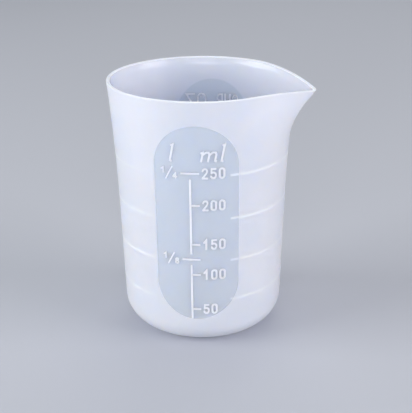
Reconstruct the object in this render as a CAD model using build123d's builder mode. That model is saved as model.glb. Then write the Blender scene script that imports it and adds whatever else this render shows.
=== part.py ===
from build123d import *
from math import cos, radians, sin, tan
import os

# A one-piece translucent silicone measuring cup with a pulled pouring lip, in millimetres. The origin is the
# middle of the underside and +Z is up. The pouring lip points along +X, the window with the litre and
# millilitre scale faces -Y and the window with the cup and ounce scale faces +Y.
os.makedirs("parts", exist_ok=True)

# The round wall
CUP_HEIGHT = 106.3
FOOT_RADIUS = 33.6       # the straight wall's line, carried down to the ground
WALL_DRAFT = 0.027       # how far the straight wall leans out for each millimetre of height
FLARE_START = 52.4       # where the straight wall begins to flare towards the rim
FLARE_RADIUS = 777
FOOT_ROUNDING = 11.4
FOOT_CLEARANCE = 0.05    # the rounding runs out this far outside the wall
WALL = 1.8
FLOOR = 2.2

# The pouring lip
LIP_START = 81.5         # where the keel of the lip leaves the round wall
LIP_TOE = 16.6           # height over which the keel bends outwards
LIP_SLOPE = 0.73
LIP_SHOULDER_START = 100.5
LIP_SHOULDER = 4         # height over which the keel bends back to vertical
LIP_SPREAD = 48          # degrees round the cup where the lip's sides leave the round wall
LIP_TIP_TURN = 30        # half of the turn of the rounded tip, in degrees
SECTION_STEP = 2         # between the horizontal outlines that the wall runs through
SECTION_COUNT = 55
DIP_START = 21.3         # distance from the axis where the rim begins to fall towards the tip
DIP_RADIUS = 72.5

# The two windows
WINDOW_SHIFT = 1.4       # both stand this far towards the lip
WINDOW_WIDTH = 32.6
WINDOW_TOP = 96.6
WINDOW_FOOT = 13.6
RECESS = 0.25
MARK_HEIGHT = 0.45       # above the window's floor

# The raised scales. Across is measured from the middle of the window, to the right.
STROKE = 0.75
FRACTION_STROKE = 0.55
CAP_SHARE = 0.68         # height of a capital's stroke in the lettering font, as a share of its size
STEM_ACROSS = -2.1
TICK_END = 1.5
LONG_MARK_START = -5.7
STEM_GAP = 2.4           # clear space above and below a long mark
STEM_FOOT = 13.9
METRIC_LEVELS = {"250": 77.6, "200": 64.2, "150": 47.4, "100": 34.0, "50": 18.3}
EIGHTH_LEVEL = 40.8
DIGIT_HEIGHT = 4.6
DIGIT_WIDTH = 2.5
DIGIT_PITCH = 3.2
DIGITS_START = 2.4
FRACTION_ACROSS = -10.3
FRACTION_DIGIT = 2.7
BOWL_SHARE = 0.5         # height of a letter P's bowl, as a share of the letter
# Straight-stroked characters: bends, as shares of the width and height about the middle
STRAIGHT_CHARACTERS = {
    "1": ((-0.4, 0.22), (0.1, 0.5), (0.1, -0.5)),
    "Z": ((-0.5, 0.5), (0.5, 0.5), (-0.5, -0.5), (0.5, -0.5)),
}
UNIT_FOOT = 82.2
UNIT_SLANT = 0.2
LITRE_ACROSS = -9.8
MILLILITRE_ACROSS = 2.2
LETTER_GAP = 7.6         # from the start of the m to the stem of the l
ITALIC_L = (((-0.8, 6.6), (0, 7.0), (0, 0.5), (0.8, 0.2)),)
ITALIC_M = (
    ((-0.8, 3.7), (0, 4.1), (0, 0.2)),
    ((0, 3.0), (1.2, 4.1), (2.2, 4.0), (2.6, 3.2), (2.6, 0.2)),
    ((2.6, 3.0), (3.8, 4.1), (4.8, 4.0), (5.2, 3.2), (5.2, 0.6), (5.9, 0.3)),
)

# The cup and ounce scale
CUP_LEVELS = {"full": 76.2, "three_quarter": 57.9, "half": 39.6, "quarter": 21.8}
CUP_FRACTIONS = {"three_quarter": ("3", "4"), "half": ("1", "2"), "quarter": ("1", "4")}
OUNCE_LEVELS = {"8": 72.3, "6": 55.1, "4": 37.9, "2": 20.8}
WORD_HEIGHT = 7
WORD_MIDDLE = 86.7
CUP_WORD_START = -12.4
CUP_LETTER_WIDTH = 3.1
CUP_LETTER_PITCH = 3.7
OUNCE_WORD_START = 3.0
OUNCE_LETTER_WIDTH = 4.4
OUNCE_LETTER_PITCH = 5.2
SCALE_MARK = 4.5         # length of a mark beside the stem
SCALE_GAP = 1.4          # from the end of a mark to its figure

# The level ribs inside
RIB_WIDTH = 0.8
RIB_PROUD = 0.5
RIB_ENDS = {"lip": 13.2, "heel": 17.0}    # from the middle of the window to the end of a rib
RIB_DROP = 1.5           # the short drop at each end of a rib on the lip's side

OUTSIDE = 60             # beyond every outer face


def wall_radius(height):
    """Outer radius of the round wall."""
    flare = max(height - FLARE_START, 0)
    return FOOT_RADIUS + WALL_DRAFT * height + flare ** 2 / (2 * FLARE_RADIUS)


def eased(rise, bend):
    """Distance gained on a slope of one that eases in over the height of the bend."""
    rise = max(rise, 0)
    return rise ** 2 / (2 * bend) if rise < bend else rise - bend / 2


def lip_reach(height):
    """How far the keel of the lip stands out from the round wall."""
    outward = eased(height - LIP_START, LIP_TOE)
    return LIP_SLOPE * (outward - eased(height - LIP_SHOULDER_START, LIP_SHOULDER))


def outline(height, inset):
    """Horizontal outline of the cup: a round wall, two flatter sides and a rounded tip, all tangent."""
    spread, turn = radians(LIP_SPREAD), radians(LIP_TIP_TURN)
    radius = wall_radius(height)
    side_offset = lip_reach(height) / (1 - cos(spread) - sin(spread) * tan(turn / 2))
    tip_middle = side_offset * (sin(spread) / tan(turn) - cos(spread))
    tip_radius = radius + lip_reach(height) - tip_middle
    side_x, side_y = -side_offset * cos(spread), side_offset * sin(spread)
    side_radius = radius + side_offset - inset
    side_turn = LIP_SPREAD - LIP_TIP_TURN
    with BuildSketch(Plane.XY.offset(height)) as section:
        with BuildLine():
            CenterArc((0, 0), radius - inset, LIP_SPREAD, 180 - LIP_SPREAD)
            CenterArc((0, 0), radius - inset, 180, 180 - LIP_SPREAD)
            CenterArc((side_x, side_y), side_radius, -LIP_SPREAD, side_turn)
            CenterArc((tip_middle, 0), tip_radius - inset, -LIP_TIP_TURN, 2 * LIP_TIP_TURN)
            CenterArc((side_x, -side_y), side_radius, LIP_TIP_TURN, side_turn)
        make_face()
    return section.sketch


def round_profile(inset, foot):
    """Half section of the cup without its lip, drawn in by the inset, with a rounded foot."""
    bend_point = (wall_radius(FLARE_START) - inset, FLARE_START)
    top_point = (wall_radius(CUP_HEIGHT) - inset, CUP_HEIGHT)
    with BuildSketch(Plane.XZ) as section:
        with BuildLine():
            Polyline((0, CUP_HEIGHT), (0, foot), (wall_radius(foot) - inset, foot), bend_point)
            TangentArc(bend_point, top_point, tangent=(WALL_DRAFT, 1))
            Line(top_point, (0, CUP_HEIGHT))
        make_face()
        fillet(vertices().group_by(Axis.Y)[0].sort_by(Axis.X)[-1], FOOT_ROUNDING - inset)
    return section.sketch


def round_form(inset, foot=0.0):
    """Solid of the cup without its lip, drawn in by the inset."""
    with BuildPart() as form:
        add(round_profile(inset, foot))
        revolve(axis=Axis.Z)
    return form.part


def cup_form(inset, foot=0.0):
    """Solid of the cup with its lip, higher than the rim, drawn in by the inset."""
    with BuildPart() as form:
        loft([outline(SECTION_STEP * step, inset) for step in range(SECTION_COUNT)])
        with BuildSketch(Plane.XZ):
            with BuildLine():
                Polyline(
                    (0, 2 * CUP_HEIGHT),
                    (0, foot),
                    (wall_radius(foot) - inset + FOOT_CLEARANCE, foot),
                    (wall_radius(FLARE_START) - inset + FOOT_CLEARANCE, FLARE_START),
                    (2 * OUTSIDE, 2 * CUP_HEIGHT),
                    close=True,
                )
            make_face()
            fillet(vertices().group_by(Axis.Y)[0].sort_by(Axis.X)[-1], FOOT_ROUNDING - inset)
        revolve(axis=Axis.Z, mode=Mode.INTERSECT)
    return form.part


def bar(left, right, low, high):
    """A straight stroke, given by its edges."""
    with Locations(((left + right) / 2, (low + high) / 2)):
        Rectangle(right - left, high - low)


def level_mark(left, right, level):
    """A level stroke."""
    bar(left, right, level - STROKE / 2, level + STROKE / 2)


def letter_o(height, across, middle, width, stroke):
    """A letter O or a nought, with straight sides and half-round ends."""
    with Locations((across, middle)):
        SlotOverall(height, width, rotation=90)
        SlotOverall(height - 2 * stroke, width - 2 * stroke, rotation=90, mode=Mode.SUBTRACT)


def letter_u(height, across, middle, width, stroke):
    """A letter U, with straight sides and a half-round foot."""
    reach = (width - stroke) / 2
    top, bend = middle + height / 2, middle - height / 2 + stroke / 2 + reach
    with BuildLine() as run:
        Line((across - reach, top), (across - reach, bend))
        ThreePointArc((across - reach, bend), (across, bend - reach), (across + reach, bend))
        Line((across + reach, bend), (across + reach, top))
    trace(run.edges(), line_width=stroke)


def letter_p(height, across, middle, width, stroke):
    """A letter P, with a half-round bowl."""
    reach, bowl = (width - stroke) / 2, (height - stroke) * BOWL_SHARE
    top, foot = middle + (height - stroke) / 2, middle - height / 2
    bend = across + reach - bowl / 2
    bar(across - reach - stroke / 2, across - reach + stroke / 2, foot, top + stroke / 2)
    with BuildLine() as run:
        Line((across - reach, top), (bend, top))
        ThreePointArc((bend, top), (across + reach, top - bowl / 2), (bend, top - bowl))
        Line((bend, top - bowl), (across - reach, top - bowl))
    trace(run.edges(), line_width=stroke)


def straight_character(character, height, across, middle, width, stroke):
    """A one or a Z, drawn as straight strokes with rounded bends."""
    points = [
        (across + x * (width - stroke), middle + y * (height - stroke))
        for x, y in STRAIGHT_CHARACTERS[character]
    ]
    with BuildLine() as run:
        Polyline(points)
    trace(run.edges(), line_width=stroke)
    with Locations(points):
        Circle(stroke / 2)


def other_character(character, height, across, middle, width, stroke):
    """A character in the single-stroke lettering font, squeezed to its width."""
    with BuildSketch(Plane.XY, mode=Mode.PRIVATE) as glyph:
        font_size = (height - stroke) / CAP_SHARE
        Text(character, font_size, font="Relief SingleLine CAD", single_line_width=stroke)
    box = glyph.sketch.bounding_box()
    squeezed = scale(glyph.sketch, by=(min(width / box.size.X, 1), 1, 1), mode=Mode.PRIVATE)
    middle_now = squeezed.bounding_box().center()
    add(squeezed.moved(Location((across - middle_now.X, middle - middle_now.Y))))


def lettering(text, height, left, middle, width, pitch=0.0, stroke=STROKE):
    """A row of characters drawn in one even stroke, standing at an even pitch."""
    for place, character in enumerate(text):
        across = left + place * pitch + width / 2
        if character in "0O":
            letter_o(height, across, middle, width, stroke)
        elif character == "U":
            letter_u(height, across, middle, width, stroke)
        elif character == "P":
            letter_p(height, across, middle, width, stroke)
        elif character in STRAIGHT_CHARACTERS:
            straight_character(character, height, across, middle, width, stroke)
        else:
            other_character(character, height, across, middle, width, stroke)


def fraction(top, bottom, across, middle):
    """Two small figures on either side of a slanting bar."""
    half = FRACTION_DIGIT / 2
    width = FRACTION_DIGIT * 0.75
    lettering(top, FRACTION_DIGIT, across - half - width, middle + half * 0.7, width, 0, FRACTION_STROKE)
    lettering(bottom, FRACTION_DIGIT, across + half, middle - half * 0.7, width, 0, FRACTION_STROKE)
    with BuildLine() as slash:
        Line((across - half, middle - 2 * half), (across + half, middle + 2 * half))
    trace(slash.edges(), line_width=FRACTION_STROKE)


def italic(strokes, left):
    """A slanted letter, drawn as runs of straight strokes."""
    for points in strokes:
        with BuildLine() as run:
            Polyline([(left + x + UNIT_SLANT * y, UNIT_FOOT + y) for x, y in points])
        trace(run.edges(), line_width=STROKE)


front_window = Plane(origin=(WINDOW_SHIFT, 0, 0), x_dir=(1, 0, 0), z_dir=(0, -1, 0))
back_window = Plane(origin=(WINDOW_SHIFT, 0, 0), x_dir=(-1, 0, 0), z_dir=(0, 1, 0))
cavity = cup_form(WALL, FLOOR)
window_floor = round_form(RECESS)

# What the window recesses take away
with BuildPart() as recess:
    with BuildSketch(front_window.offset(-OUTSIDE)):
        with Locations((0, (WINDOW_TOP + WINDOW_FOOT) / 2)):
            SlotOverall(WINDOW_TOP - WINDOW_FOOT, WINDOW_WIDTH, rotation=90)
    extrude(amount=2 * OUTSIDE)
    add(window_floor, mode=Mode.SUBTRACT)

# The layer that the raised marks fill, from the floor of a window outwards
with BuildPart() as mark_layer:
    add(round_form(RECESS - MARK_HEIGHT))
    add(window_floor, mode=Mode.SUBTRACT)

# Cup body: floor, tapered wall, pouring lip and rim, with the two window recesses
with BuildPart() as cup_body:
    add(cup_form(0))
    add(cavity, mode=Mode.SUBTRACT)
    with BuildSketch(Plane.XZ):
        with BuildLine():
            rim_fall = DIP_RADIUS - (DIP_RADIUS ** 2 - (OUTSIDE - DIP_START) ** 2) ** 0.5
            RadiusArc((DIP_START, CUP_HEIGHT), (OUTSIDE, CUP_HEIGHT - rim_fall), DIP_RADIUS)
            Polyline(
                (OUTSIDE, CUP_HEIGHT - rim_fall),
                (OUTSIDE, CUP_HEIGHT + OUTSIDE),
                (-OUTSIDE, CUP_HEIGHT + OUTSIDE),
                (-OUTSIDE, CUP_HEIGHT),
                (DIP_START, CUP_HEIGHT),
            )
        make_face()
    extrude(amount=OUTSIDE, both=True, mode=Mode.SUBTRACT)
    add(recess.part, mode=Mode.SUBTRACT)
cup_body.part.label = "cup_body"
export_step(cup_body.part, "parts/cup_body.step")

# Metric scale: stem, in two runs that stop short of the long marks
with BuildPart() as metric_stem:
    with BuildSketch(front_window):
        for low, high in ((STEM_FOOT, EIGHTH_LEVEL), (EIGHTH_LEVEL, METRIC_LEVELS["250"])):
            start = low if low == STEM_FOOT else low + STEM_GAP
            bar(STEM_ACROSS - STROKE / 2, STEM_ACROSS + STROKE / 2, start, high - STEM_GAP)
    extrude(amount=OUTSIDE)
    add(mark_layer.part, mode=Mode.INTERSECT)
metric_stem.part.label = "metric_stem"
export_step(metric_stem.part, "parts/metric_stem.step")

# Metric scale: short ticks, just clear of the stem
with BuildPart() as metric_ticks:
    with BuildSketch(front_window):
        for text in ("200", "150", "100", "50"):
            level_mark(STEM_ACROSS + STROKE / 2, TICK_END, METRIC_LEVELS[text])
    extrude(amount=OUTSIDE)
    add(mark_layer.part, mode=Mode.INTERSECT)
metric_ticks.part.label = "metric_ticks"
export_step(metric_ticks.part, "parts/metric_ticks.step")

# Metric scale: the long marks at a quarter and an eighth of a litre
with BuildPart() as metric_long_marks:
    with BuildSketch(front_window):
        for level in (METRIC_LEVELS["250"], EIGHTH_LEVEL):
            level_mark(LONG_MARK_START, TICK_END, level)
    extrude(amount=OUTSIDE)
    add(mark_layer.part, mode=Mode.INTERSECT)
metric_long_marks.part.label = "metric_long_marks"
export_step(metric_long_marks.part, "parts/metric_long_marks.step")

# Metric scale: one numeral for each level in millilitres
for text, level in METRIC_LEVELS.items():
    with BuildPart() as numeral:
        with BuildSketch(front_window):
            lettering(text, DIGIT_HEIGHT, DIGITS_START, level, DIGIT_WIDTH, DIGIT_PITCH)
        extrude(amount=OUTSIDE)
        add(mark_layer.part, mode=Mode.INTERSECT)
    numeral.part.label = f"numeral_{text}"
    export_step(numeral.part, f"parts/numeral_{text}.step")

# Metric scale: the fractions of a litre beside the long marks
for name, bottom, level in (("quarter", "4", METRIC_LEVELS["250"]), ("eighth", "8", EIGHTH_LEVEL)):
    with BuildPart() as litre_fraction:
        with BuildSketch(front_window):
            fraction("1", bottom, FRACTION_ACROSS, level)
        extrude(amount=OUTSIDE)
        add(mark_layer.part, mode=Mode.INTERSECT)
    litre_fraction.part.label = f"{name}_litre_fraction"
    export_step(litre_fraction.part, f"parts/{name}_litre_fraction.step")

# Metric scale: the unit letters above the two columns
with BuildPart() as litre_letter:
    with BuildSketch(front_window):
        italic(ITALIC_L, LITRE_ACROSS)
    extrude(amount=OUTSIDE)
    add(mark_layer.part, mode=Mode.INTERSECT)
litre_letter.part.label = "litre_letter"
export_step(litre_letter.part, "parts/litre_letter.step")

with BuildPart() as millilitre_letters:
    with BuildSketch(front_window):
        italic(ITALIC_M, MILLILITRE_ACROSS)
        italic(ITALIC_L, MILLILITRE_ACROSS + LETTER_GAP)
    extrude(amount=OUTSIDE)
    add(mark_layer.part, mode=Mode.INTERSECT)
millilitre_letters.part.label = "millilitre_letters"
export_step(millilitre_letters.part, "parts/millilitre_letters.step")

# Cup and ounce scale: stem
with BuildPart() as cup_scale_stem:
    with BuildSketch(back_window):
        bar(-STROKE / 2, STROKE / 2, STEM_FOOT, CUP_LEVELS["full"] + STROKE / 2)
    extrude(amount=OUTSIDE)
    add(mark_layer.part, mode=Mode.INTERSECT)
cup_scale_stem.part.label = "cup_scale_stem"
export_step(cup_scale_stem.part, "parts/cup_scale_stem.step")

# Cup and ounce scale: a mark for each quarter of a cup, left of the stem
with BuildPart() as cup_marks:
    with BuildSketch(back_window):
        for level in CUP_LEVELS.values():
            level_mark(-SCALE_MARK, -STROKE / 2, level)
    extrude(amount=OUTSIDE)
    add(mark_layer.part, mode=Mode.INTERSECT)
cup_marks.part.label = "cup_marks"
export_step(cup_marks.part, "parts/cup_marks.step")

# Cup and ounce scale: a mark for each two ounces, right of the stem
with BuildPart() as ounce_marks:
    with BuildSketch(back_window):
        for level in OUNCE_LEVELS.values():
            level_mark(STROKE / 2, SCALE_MARK, level)
    extrude(amount=OUTSIDE)
    add(mark_layer.part, mode=Mode.INTERSECT)
ounce_marks.part.label = "ounce_marks"
export_step(ounce_marks.part, "parts/ounce_marks.step")

# Cup and ounce scale: the figures of the cups
with BuildPart() as cup_figures:
    with BuildSketch(back_window):
        figure_start = -SCALE_MARK - SCALE_GAP - DIGIT_WIDTH
        lettering("1", DIGIT_HEIGHT, figure_start, CUP_LEVELS["full"], DIGIT_WIDTH)
        for name, (top, bottom) in CUP_FRACTIONS.items():
            fraction(top, bottom, figure_start - SCALE_GAP / 2, CUP_LEVELS[name])
    extrude(amount=OUTSIDE)
    add(mark_layer.part, mode=Mode.INTERSECT)
cup_figures.part.label = "cup_figures"
export_step(cup_figures.part, "parts/cup_figures.step")

# Cup and ounce scale: the figures of the ounces
with BuildPart() as ounce_figures:
    with BuildSketch(back_window):
        for text, level in OUNCE_LEVELS.items():
            lettering(text, DIGIT_HEIGHT, SCALE_MARK + SCALE_GAP, level, DIGIT_WIDTH)
    extrude(amount=OUTSIDE)
    add(mark_layer.part, mode=Mode.INTERSECT)
ounce_figures.part.label = "ounce_figures"
export_step(ounce_figures.part, "parts/ounce_figures.step")

# Cup and ounce scale: the unit words
with BuildPart() as cup_word:
    with BuildSketch(back_window):
        lettering("CUP", WORD_HEIGHT, CUP_WORD_START, WORD_MIDDLE, CUP_LETTER_WIDTH, CUP_LETTER_PITCH)
    extrude(amount=OUTSIDE)
    add(mark_layer.part, mode=Mode.INTERSECT)
cup_word.part.label = "cup_word"
export_step(cup_word.part, "parts/cup_word.step")

with BuildPart() as ounce_word:
    with BuildSketch(back_window):
        lettering("OZ", WORD_HEIGHT, OUNCE_WORD_START, WORD_MIDDLE, OUNCE_LETTER_WIDTH, OUNCE_LETTER_PITCH)
    extrude(amount=OUTSIDE)
    add(mark_layer.part, mode=Mode.INTERSECT)
ounce_word.part.label = "ounce_word"
export_step(ounce_word.part, "parts/ounce_word.step")

# Level ribs on the inner face; those on the lip's side have a short drop at their two ends
rib_bore = round_form(WALL + RIB_PROUD, FLOOR)
for side, direction in (("lip", 1), ("heel", -1)):
    rib_end = RIB_ENDS[side]
    for name, level in CUP_LEVELS.items():
        with BuildPart() as level_rib:
            with BuildSketch(front_window.offset(-OUTSIDE)):
                with Locations((direction * (rib_end + OUTSIDE / 2), level)):
                    Rectangle(OUTSIDE, RIB_WIDTH)
                if side == "lip":
                    with Locations((rib_end + RIB_WIDTH / 2, level - RIB_DROP / 2)):
                        Rectangle(RIB_WIDTH, RIB_DROP + RIB_WIDTH)
            extrude(amount=2 * OUTSIDE)
            add(cavity, mode=Mode.INTERSECT)
            add(rib_bore, mode=Mode.SUBTRACT)
        level_rib.part.label = f"{name}_cup_rib_{side}_side"
        export_step(level_rib.part, f"parts/{name}_cup_rib_{side}_side.step")
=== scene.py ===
from math import atan, atan2, cos, degrees, pi, radians, sin, sqrt, tan

import bmesh
import bpy
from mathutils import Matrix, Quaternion, Vector


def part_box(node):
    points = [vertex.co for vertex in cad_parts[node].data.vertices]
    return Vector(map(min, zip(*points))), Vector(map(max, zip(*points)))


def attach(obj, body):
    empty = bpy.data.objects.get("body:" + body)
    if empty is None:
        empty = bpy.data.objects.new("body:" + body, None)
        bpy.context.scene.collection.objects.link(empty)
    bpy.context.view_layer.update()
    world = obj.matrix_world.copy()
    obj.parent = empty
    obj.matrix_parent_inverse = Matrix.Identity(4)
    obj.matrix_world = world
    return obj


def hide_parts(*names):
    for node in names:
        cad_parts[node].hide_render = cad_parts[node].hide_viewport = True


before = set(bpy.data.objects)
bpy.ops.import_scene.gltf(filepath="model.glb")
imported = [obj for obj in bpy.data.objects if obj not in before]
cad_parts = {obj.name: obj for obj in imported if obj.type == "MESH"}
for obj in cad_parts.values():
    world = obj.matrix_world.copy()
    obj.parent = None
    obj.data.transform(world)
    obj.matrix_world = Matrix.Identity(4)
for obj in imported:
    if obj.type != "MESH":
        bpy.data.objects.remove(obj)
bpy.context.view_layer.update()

# ---------------------------------------------------------------------------
# The cup's measures, in metres. The lip points along +X and the metric scale faces -Y.
# ---------------------------------------------------------------------------
MM = 0.001
CUP_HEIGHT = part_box("cup_body")[1].z
FOOT_RADIUS = 33.6 * MM          # the straight wall's line, carried down to the ground
WALL_DRAFT = 0.027
FLARE_START = 52.4 * MM
FLARE_RADIUS = 777 * MM
FOOT_ROUNDING = 11.4 * MM
WALL = 1.8 * MM
FLOOR = 2.2 * MM

LIP_START = 81.5 * MM
LIP_TOE = 16.6 * MM
LIP_SLOPE = 0.73
LIP_SHOULDER_START = 100.5 * MM
LIP_SHOULDER = 4 * MM
LIP_SPREAD = radians(48)
LIP_TIP_TURN = radians(30)
DIP_START = 21.3 * MM
DIP_RADIUS = 72.5 * MM
DIP_EASE = 40 * MM               # height of wall over which the rim's fall is taken up

WINDOW_SHIFT = 1.4 * MM
WINDOW_RADIUS = 16.3 * MM
WINDOW_TOP = 96.6 * MM
WINDOW_FOOT = 13.6 * MM
RIM_EDGE = 0.4 * MM              # rounding of the rim's outer edge
RIM_EASE = 1.1 * MM              # the rim's inner edge is eased by this much across
RIM_FALL = 1.8 * MM              # and by this much down

RECESS = 0.23 * MM               # a hair less than the marks' own foot, so that they are rooted
RECESS_EDGE = 0.45 * MM          # half width of the soft edge
TINT_EDGE = 0.65 * MM            # and of the change of finish there

RIB_LEVELS = (76.2 * MM, 57.9 * MM, 39.6 * MM, 21.8 * MM)
LIP_RIB_END = 13.2 * MM          # how far from a window's middle the ribs stop
HEEL_RIB_END = 17.0 * MM
RIB_HALF = 0.4 * MM

OUTSIDE, INSIDE, RIM = 0, 1, 2   # which finish each face of the wall takes

BACK_MARKS = (
    "cup_scale_stem", "cup_marks", "ounce_marks", "cup_figures", "ounce_figures", "cup_word", "ounce_word",
)
MARK_FOOT = 0.25 * MM            # how deep in the wall the marks start
MARK_HEIGHT = 0.45 * MM
SKIN = 0.04 * MM

SPIN_STEPS = 440
OUTER_ROWS = 120
INNER_ROWS = 48


def wall_radius(height):
    flare = max(height - FLARE_START, 0)
    return FOOT_RADIUS + WALL_DRAFT * height + flare ** 2 / (2 * FLARE_RADIUS)


def eased(rise, bend):
    rise = max(rise, 0)
    return rise ** 2 / (2 * bend) if rise < bend else rise - bend / 2


def smooth(share):
    share = min(max(share, 0), 1)
    return share * share * (3 - 2 * share)


def lip_reach(height):
    outward = eased(height - LIP_START, LIP_TOE)
    return LIP_SLOPE * (outward - eased(height - LIP_SHOULDER_START, LIP_SHOULDER))


def rim_height(across):
    """The rim is level, and falls along an arc towards the tip of the lip."""
    past = max(across - DIP_START, 0)
    return CUP_HEIGHT - DIP_RADIUS + sqrt(DIP_RADIUS ** 2 - past ** 2)


def wall_point(turn, height, inset):
    """A point on the wall, where turn is the way that the wall faces there."""
    reach, radius = lip_reach(height), wall_radius(height)
    offset = reach / (1 - cos(LIP_SPREAD) - sin(LIP_SPREAD) * tan(LIP_TIP_TURN / 2))
    side = 1 if turn >= 0 else -1
    if abs(turn) <= LIP_TIP_TURN:
        middle = Vector((offset * (sin(LIP_SPREAD) / tan(LIP_TIP_TURN) - cos(LIP_SPREAD)), 0))
        radius += reach - middle.x
    elif abs(turn) <= LIP_SPREAD:
        middle = Vector((-offset * cos(LIP_SPREAD), -side * offset * sin(LIP_SPREAD)))
        radius += offset
    else:
        middle = Vector((0, 0))
    return middle + (radius - inset) * Vector((cos(turn), sin(turn)))


def rim_fall(turn):
    """How far the rim has fallen where the wall faces this way, found by a few rounds of trial."""
    height = CUP_HEIGHT
    for _ in range(12):
        height = (height + rim_height(wall_point(turn, height, WALL / 2).x)) / 2
    return CUP_HEIGHT - height


def window_depth(point):
    """How deep the window's recess is here: a soft-edged stadium, on the front and on the back."""
    top, foot = WINDOW_TOP - WINDOW_RADIUS, WINDOW_FOOT + WINDOW_RADIUS
    nearest = min(max(point.z, foot), top)
    edge = sqrt((point.x - WINDOW_SHIFT) ** 2 + (point.z - nearest) ** 2) - WINDOW_RADIUS
    return RECESS * smooth((RECESS_EDGE - edge) / (2 * RECESS_EDGE))


# ---------------------------------------------------------------------------
# Cup body: one section, spun round the axis, then drawn out into the lip
# ---------------------------------------------------------------------------
def foot_arc(inset, ground, steps):
    """The rounded foot, from the flat underside to the wall."""
    radius = FOOT_ROUNDING - inset
    lean = atan(WALL_DRAFT)
    middle_z = ground + radius
    middle_r = FOOT_RADIUS + WALL_DRAFT * middle_z - inset - radius / cos(lean)
    for step in range(steps + 1):
        angle = -pi / 2 + (pi / 2 - lean) * step / steps
        yield middle_r + radius * cos(angle), middle_z + radius * sin(angle)


def cup_section():
    """Half section of the cup: floor, foot, outer wall, rounded rim, inner wall, inner foot, floor."""
    outer = list(foot_arc(0, 0, 14))
    inner = list(foot_arc(WALL, FLOOR, 12))
    flat = [(0, 0)] + [(outer[0][0] * share, 0) for share in (0.35, 0.7, 0.9)]
    start, end = outer[-1][1], CUP_HEIGHT - RIM_EDGE
    for row in range(1, OUTER_ROWS + 1):
        height = start + (end - start) * row / OUTER_ROWS
        outer.append((wall_radius(height), height))
    rim = []
    outer_edge, inner_edge = wall_radius(CUP_HEIGHT) - RIM_EDGE, wall_radius(CUP_HEIGHT) - WALL + RIM_EASE
    for step in range(1, 6):
        angle = pi / 2 * step / 5
        rim.append((outer_edge + RIM_EDGE * cos(angle), end + RIM_EDGE * sin(angle)))
    end = CUP_HEIGHT - RIM_FALL
    for step in range(9):
        angle = pi / 2 + pi / 2 * step / 9
        rim.append((inner_edge + RIM_EASE * cos(angle), end + RIM_FALL * sin(angle)))
    inner_wall = []
    start = inner[-1][1]
    for row in range(1, INNER_ROWS + 1):
        height = start + (end - start) * row / INNER_ROWS
        inner_wall.append((wall_radius(height) - WALL, height))
    inside_flat = [(inner[0][0] * share, FLOOR) for share in (0.9, 0.7, 0.35)] + [(0, FLOOR)]
    return flat + outer + rim + inner_wall[::-1] + inner[::-1] + inside_flat


def make_cup_body():
    bm = bmesh.new()
    verts = [bm.verts.new((r, 0, z)) for r, z in cup_section()]
    edges = [bm.edges.new(pair) for pair in zip(verts, verts[1:])]
    bmesh.ops.spin(
        bm, geom=verts + edges, axis=(0, 0, 1), cent=(0, 0, 0), angle=2 * pi,
        steps=SPIN_STEPS, use_merge=True,
    )
    bmesh.ops.remove_doubles(bm, verts=bm.verts, dist=1e-6)
    bmesh.ops.recalc_face_normals(bm, faces=bm.faces)
    for face in bm.faces:
        spot = face.calc_center_median()
        facing_axis = face.normal.x * spot.x + face.normal.y * spot.y < 0
        if facing_axis or (face.normal.z > 0.5 and spot.z < FOOT_ROUNDING):
            face.material_index = INSIDE
        # the rim faces take their own lighter material: a painted highlight along the rim
        if spot.z > CUP_HEIGHT - RIM_EDGE:
            face.material_index = RIM
    falls = {}
    for vert in bm.verts:
        x, y, z = vert.co
        radius = sqrt(x * x + y * y)
        if z < FOOT_ROUNDING + FLOOR:
            continue
        turn = atan2(y, x)
        key = round(degrees(turn), 3)
        if key not in falls:
            falls[key] = rim_fall(turn)
        start = CUP_HEIGHT - DIP_EASE
        height = z - falls[key] * smooth((z - start) / DIP_EASE)
        inset = wall_radius(z) - radius
        spot = wall_point(turn, height, inset)
        vert.co = (spot.x, spot.y, height)
        if inset < WALL / 4 and height < WINDOW_TOP + WALL:
            inward = Vector((-cos(turn), -sin(turn), 0))
            vert.co += inward * window_depth(vert.co)
    mesh = bpy.data.meshes.new("silicone_cup")
    bm.to_mesh(mesh)
    bm.free()
    for polygon in mesh.polygons:
        polygon.use_smooth = True
    body = bpy.data.objects.new("silicone_cup", mesh)
    bpy.context.scene.collection.objects.link(body)
    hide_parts("cup_body")
    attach(body, "root")
    return body


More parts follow.
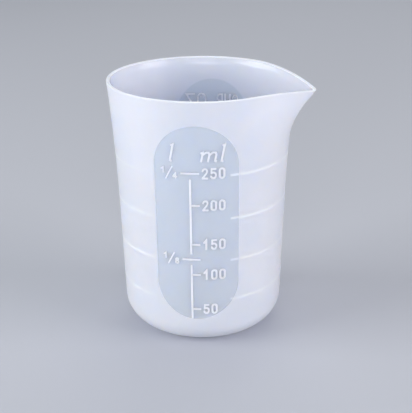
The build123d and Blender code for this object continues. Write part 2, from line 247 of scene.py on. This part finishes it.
# ---------------------------------------------------------------------------
# Silicone
# ---------------------------------------------------------------------------
class Recipe:
    """A material with one shader, and short ways to add and join its nodes."""

    def __init__(self, name):
        self.material = bpy.data.materials.new(name)
        self.material.use_nodes = True
        self.tree = self.material.node_tree
        self.shader = self.tree.nodes["Principled BSDF"]
        self.place = self.tree.nodes.new("ShaderNodeTexCoord").outputs["Object"]

    def feed(self, socket, value):
        if isinstance(value, bpy.types.NodeSocket):
            self.tree.links.new(value, socket)
        else:
            socket.default_value = value

    def math(self, operation, *values):
        node = self.tree.nodes.new("ShaderNodeMath")
        node.operation = operation
        for socket, value in zip(node.inputs, values):
            self.feed(socket, value)
        return node.outputs[0]

    def remap(self, value, low, high, new_low, new_high):
        node = self.tree.nodes.new("ShaderNodeMapRange")
        node.interpolation_type = "SMOOTHSTEP"
        for socket, number in zip(node.inputs, (value, low, high, new_low, new_high)):
            self.feed(socket, number)
        return node.outputs[0]

    def noise(self, scale, detail=2.0, rough=0.5):
        node = self.tree.nodes.new("ShaderNodeTexNoise")
        self.feed(node.inputs["Vector"], self.place)
        node.inputs["Scale"].default_value = scale
        node.inputs["Detail"].default_value = detail
        node.inputs["Roughness"].default_value = rough
        return node.outputs["Fac"]

    def blend(self, share, first, second):
        node = self.tree.nodes.new("ShaderNodeMix")
        node.data_type = "RGBA"
        self.feed(node.inputs["Factor"], share)
        self.feed(node.inputs[6], first)
        self.feed(node.inputs[7], second)
        return node.outputs[2]

    def bump(self, height, depth):
        node = self.tree.nodes.new("ShaderNodeBump")
        node.inputs["Distance"].default_value = depth
        self.feed(node.inputs["Height"], height)
        return node.outputs[0]

    def set(self, **values):
        for name, value in values.items():
            self.feed(self.shader.inputs[name.replace("_", " ")], value)


def window_share(recipe):
    """1 inside the windows and 0 on the rest of the wall."""
    parts = recipe.tree.nodes.new("ShaderNodeSeparateXYZ")
    recipe.feed(parts.inputs[0], recipe.place)
    across = recipe.math("SUBTRACT", parts.outputs["X"], WINDOW_SHIFT)
    top, foot = WINDOW_TOP - WINDOW_RADIUS, WINDOW_FOOT + WINDOW_RADIUS
    above = recipe.math("MAXIMUM", recipe.math("SUBTRACT", parts.outputs["Z"], top), 0)
    below = recipe.math("MAXIMUM", recipe.math("SUBTRACT", foot, parts.outputs["Z"]), 0)
    level = recipe.math("ADD", above, below)
    squares = recipe.math("ADD", recipe.math("POWER", across, 2), recipe.math("POWER", level, 2))
    distance = recipe.math("SUBTRACT", recipe.math("SQRT", squares), WINDOW_RADIUS)
    return recipe.remap(distance, -TINT_EDGE, TINT_EDGE, 1, 0)


def painted_rib_glow_share(recipe):
    """1 on the wall where a level rib lies right behind it, and 0 elsewhere: the mask of a painted lighter
    band that stands in for the rib showing through the wall.
    """
    parts = recipe.tree.nodes.new("ShaderNodeSeparateXYZ")
    recipe.feed(parts.inputs[0], recipe.place)
    nearest = 1.0
    for level in RIB_LEVELS:
        away = recipe.math("ABSOLUTE", recipe.math("SUBTRACT", parts.outputs["Z"], level))
        nearest = recipe.math("MINIMUM", nearest, away)
    across = recipe.math("SUBTRACT", parts.outputs["X"], WINDOW_SHIFT)
    line = recipe.remap(nearest, RIB_HALF * 0.6, RIB_HALF * 1.8, 1, 0)
    lip_side = recipe.remap(across, LIP_RIB_END - RIB_HALF, LIP_RIB_END + RIB_HALF, 0, 1)
    heel_side = recipe.remap(across, -HEEL_RIB_END - RIB_HALF, -HEEL_RIB_END + RIB_HALF, 1, 0)
    reach = recipe.math("MAXIMUM", lip_side, heel_side)
    patchy = recipe.remap(recipe.noise(90, 2), 0.35, 0.6, 0.6, 1)
    return recipe.math("MULTIPLY", recipe.math("MULTIPLY", line, reach), patchy)


IOR = 1.41
GRAIN = 5200                     # the frosting's grain, about a fifth of a millimetre
CLOUD = 45                       # slow drift of the wall's milkiness
FLECK = 300                      # fine unevenness of the marks, ribs and rim
PAINTED_RIB_GLOW = 0.6                   # painted light: how much lighter the wall is painted where a rib lies behind it

# Colours of the silicone
FROSTED = (0.855, 0.865, 1.0, 1)
FROSTED_DEEP = (0.82, 0.845, 1.0, 1)
POLISHED = (0.775, 0.83, 1.0, 1)
RAISED = (0.88, 0.905, 0.99, 1)
PALE = (0.96, 0.975, 1.0, 1)


def wall_material(name, frosted_rough, polished_rough):
    """Milky, frosted silicone with a clearer, bluer finish in the windows, and a painted lighter band
    where a rib lies behind the wall.
    """
    recipe = Recipe(name)
    window = window_share(recipe)
    cloud = recipe.remap(recipe.noise(CLOUD, 3), 0.35, 0.65, 0, 1)
    grain = recipe.noise(GRAIN, 2, 0.6)
    frosted = recipe.blend(cloud, FROSTED, FROSTED_DEEP)
    plain = recipe.blend(window, frosted, POLISHED)
    # painted light: the wall is painted lighter, and made less clear, where a rib lies behind it
    painted_rib_glow = recipe.math("MULTIPLY", painted_rib_glow_share(recipe), PAINTED_RIB_GLOW)
    recipe.set(
        Base_Color=recipe.blend(painted_rib_glow, plain, RAISED),
        Roughness=recipe.remap(window, 0, 1, frosted_rough, polished_rough),
        Transmission_Weight=recipe.math(
            "MULTIPLY", recipe.remap(window, 0, 1, 0.34, 0.44), recipe.math("SUBTRACT", 1, painted_rib_glow)
        ),
        IOR=IOR,
        Subsurface_Weight=1.0,
        Subsurface_Radius=(0.0022, 0.0025, 0.0030),
        Subsurface_Scale=1.0,
        Normal=recipe.bump(recipe.math("MULTIPLY", grain, recipe.math("SUBTRACT", 1, window)), 0.02 * MM),
    )
    return recipe.material


def make_show_through():
    """The back scale as it shows inside the cup: each mark again, as a thin skin on the inner face, whose
    pale colour is painted light for the marks seen through the window.
    """
    bm = bmesh.new()
    for name in BACK_MARKS:
        bm.from_mesh(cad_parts[name].data)
    bmesh.ops.remove_doubles(bm, verts=bm.verts, dist=1e-6)
    for vert in bm.verts:
        x, y, z = vert.co
        radius = sqrt(x * x + y * y)
        proud = (radius - wall_radius(z) + MARK_FOOT) / MARK_HEIGHT
        share = (wall_radius(z) - WALL + SKIN * (0.4 - proud)) / radius
        vert.co = (x * share, y * share, z)
    bmesh.ops.reverse_faces(bm, faces=bm.faces)
    mesh = bpy.data.meshes.new("back_scale_showing_inside")
    bm.to_mesh(mesh)
    bm.free()
    piece = bpy.data.objects.new("back_scale_showing_inside", mesh)
    bpy.context.scene.collection.objects.link(piece)
    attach(piece, "root")
    return piece


def raised_material(name, light, deep):
    """Thin silicone that catches the light: the raised marks, and the rim, where the lighter colour is a
    painted highlight.
    """
    recipe = Recipe(name)
    cloud = recipe.remap(recipe.noise(FLECK, 2), 0.35, 0.65, 0, 1)
    recipe.set(
        Base_Color=recipe.blend(cloud, light, deep),
        Roughness=0.35,
        Transmission_Weight=0.10,
        IOR=IOR,
        Subsurface_Weight=1.0,
        Subsurface_Radius=(0.0008, 0.0009, 0.001),
        Subsurface_Scale=1.0,
        Normal=recipe.bump(recipe.noise(GRAIN, 2, 0.6), 0.01 * MM),
    )
    return recipe.material


def pale_material(name, cover):
    """Silicone seen from inside the cup, where it is lit from one side only; on the show-through skin the
    pale colour is painted light.
    """
    recipe = Recipe(name)
    cloud = recipe.remap(recipe.noise(FLECK, 2), 0.35, 0.65, 0, 1)
    recipe.set(Base_Color=recipe.blend(cloud, PALE, RAISED), Roughness=0.30, IOR=IOR, Alpha=cover)
    return recipe.material


body = make_cup_body()
body.data.materials.append(wall_material("frosted_silicone", 0.46, 0.10))
body.data.materials.append(wall_material("glossy_inside_silicone", 0.18, 0.08))
# the rim's lighter colour is a painted highlight
body.data.materials.append(raised_material("painted_highlight_rim_silicone", RAISED, FROSTED))
marks = raised_material("raised_mark_silicone", RAISED, FROSTED)
# painted light: the pale skin stands in for the back marks' brightness seen through the window
make_show_through().data.materials.append(pale_material("painted_light_show_through", 0.9))
ribs = pale_material("pale_rib_silicone", 1.0)
for name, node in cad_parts.items():
    if name != "cup_body":
        node.data.materials.clear()
        node.data.materials.append(ribs if "_rib_" in name else marks)


# ---------------------------------------------------------------------------
# Stage, lights and camera
# ---------------------------------------------------------------------------
def make_floor():
    bm = bmesh.new()
    bmesh.ops.create_grid(bm, x_segments=1, y_segments=1, size=6)
    mesh = bpy.data.meshes.new("floor")
    bm.to_mesh(mesh)
    bm.free()
    floor = bpy.data.objects.new("floor", mesh)
    bpy.context.scene.collection.objects.link(floor)
    material = bpy.data.materials.new("pale_floor")
    material.use_nodes = True
    shader = material.node_tree.nodes["Principled BSDF"]
    shader.inputs["Base Color"].default_value = (0.55, 0.56, 0.59, 1)
    shader.inputs["Roughness"].default_value = 0.9
    mesh.materials.append(material)


def soft_light(name, place, target, size, power, tint=(1, 1, 1)):
    data = bpy.data.lights.new(name, "AREA")
    data.shape = "RECTANGLE"
    data.size, data.size_y = size
    data.energy = power
    data.color = tint
    light = bpy.data.objects.new(name, data)
    light.location = place
    light.rotation_euler = (Vector(target) - Vector(place)).to_track_quat("-Z", "Y").to_euler()
    bpy.context.scene.collection.objects.link(light)


def make_camera():
    azimuth, elevation, roll = radians(6), radians(22.3), radians(-0.48)
    right = Vector((cos(azimuth), sin(azimuth), 0))
    back = Vector((sin(azimuth) * cos(elevation), -cos(azimuth) * cos(elevation), sin(elevation)))
    target = right * 1.6 * MM + Vector((0, 0, 49.4 * MM))
    data = bpy.data.cameras.new("camera")
    data.lens = 76.7
    camera = bpy.data.objects.new("camera", data)
    camera.location = target + back * 0.378
    camera.rotation_mode = "QUATERNION"
    camera.rotation_quaternion = (-back).to_track_quat("-Z", "Y") @ Quaternion((0, 0, 1), roll)
    data.clip_start, data.clip_end = 0.01, 20
    bpy.context.scene.collection.objects.link(camera)
    bpy.context.scene.camera = camera


make_floor()
make_camera()
middle = (0, 0, 0.05)
soft_light("left_softbox", (-1.10, -0.38, 0.40), middle, (0.8, 0.6), 11.0, (0.95, 0.97, 1))
soft_light("right_softbox", (1.12, -0.30, 0.40), middle, (0.8, 0.6), 8.4, (0.98, 0.96, 1))
soft_light("front_softbox", (0.08, -1.30, 0.28), middle, (0.8, 0.45), 7.4, (0.93, 0.96, 1))
soft_light("top_softbox", (0.08, 0.06, 0.70), middle, (0.25, 0.25), 0.3)
soft_light("back_softbox", (0.08, 1.05, 0.80), middle, (0.9, 0.6), 2.4)
world = bpy.data.worlds.new("studio")
world.use_nodes = True
world.node_tree.nodes["Background"].inputs["Color"].default_value = (0.85, 0.9, 1, 1)
world.node_tree.nodes["Background"].inputs["Strength"].default_value = 0.38
bpy.context.scene.world = world
bpy.context.scene.view_settings.view_transform = "Standard"
